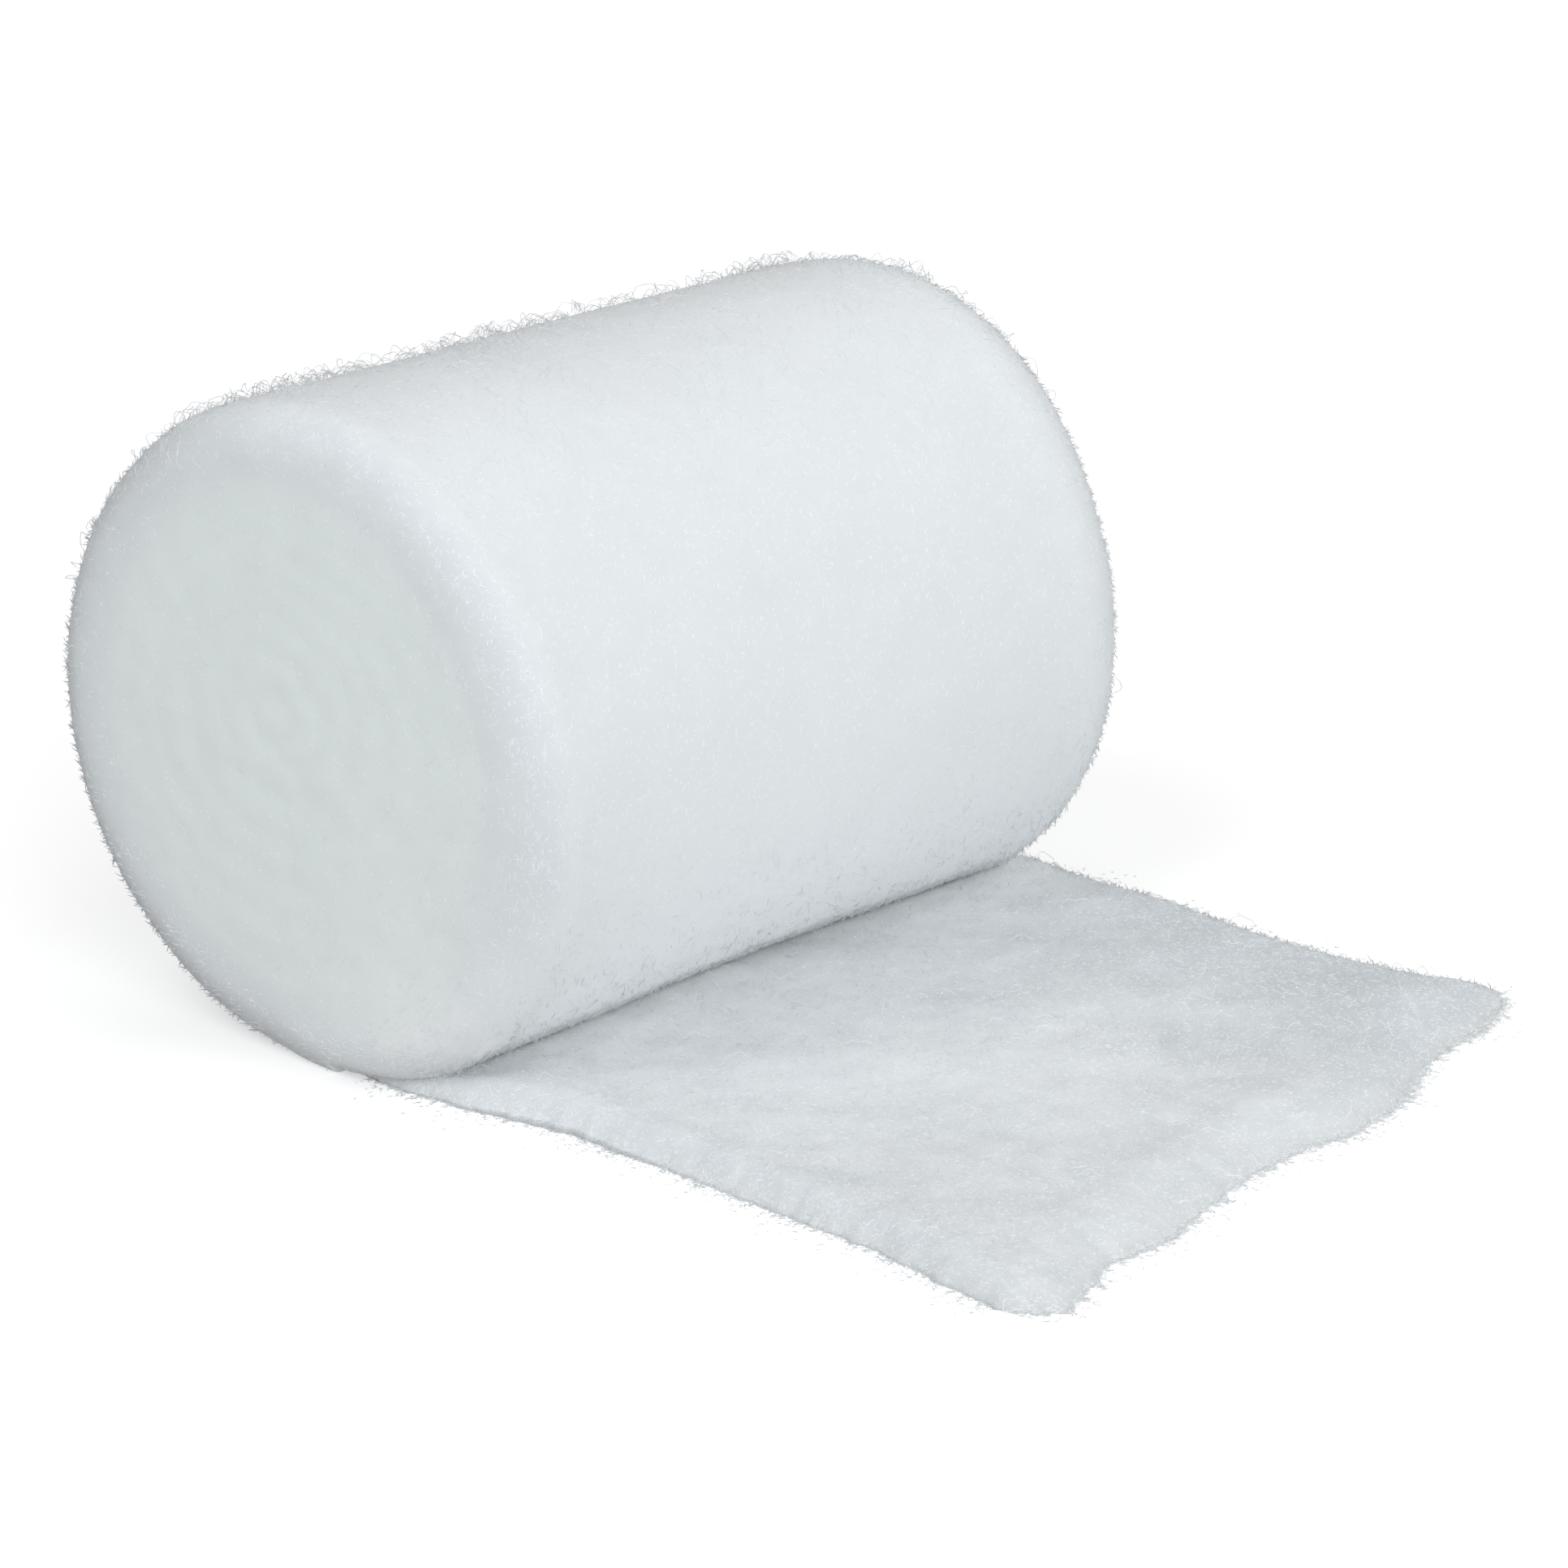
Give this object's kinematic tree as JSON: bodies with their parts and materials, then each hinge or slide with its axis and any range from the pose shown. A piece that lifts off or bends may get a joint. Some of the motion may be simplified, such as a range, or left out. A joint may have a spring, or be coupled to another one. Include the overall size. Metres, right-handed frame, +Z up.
{
  "type": "cast padding roll",
  "caption": "Roll of soft white synthetic cast padding lying on its side, with its torn loose end laid out in front.",
  "frame": {"origin": "on the surface that the roll lies on, on the flat of its underside, half way along it", "axes": "+Z up, Y along the roll's axis, +X the way the loose end runs out"},
  "size_m": [0.1393, 0.1135, 0.0764],
  "materials": {
    "wadding": "soft matt white fibre fleece, lightly fuzzy"
  },
  "bodies": {
    "root": {"wound_roll": "wadding", "loose_end": "wadding"}
  },
  "joints": []
}
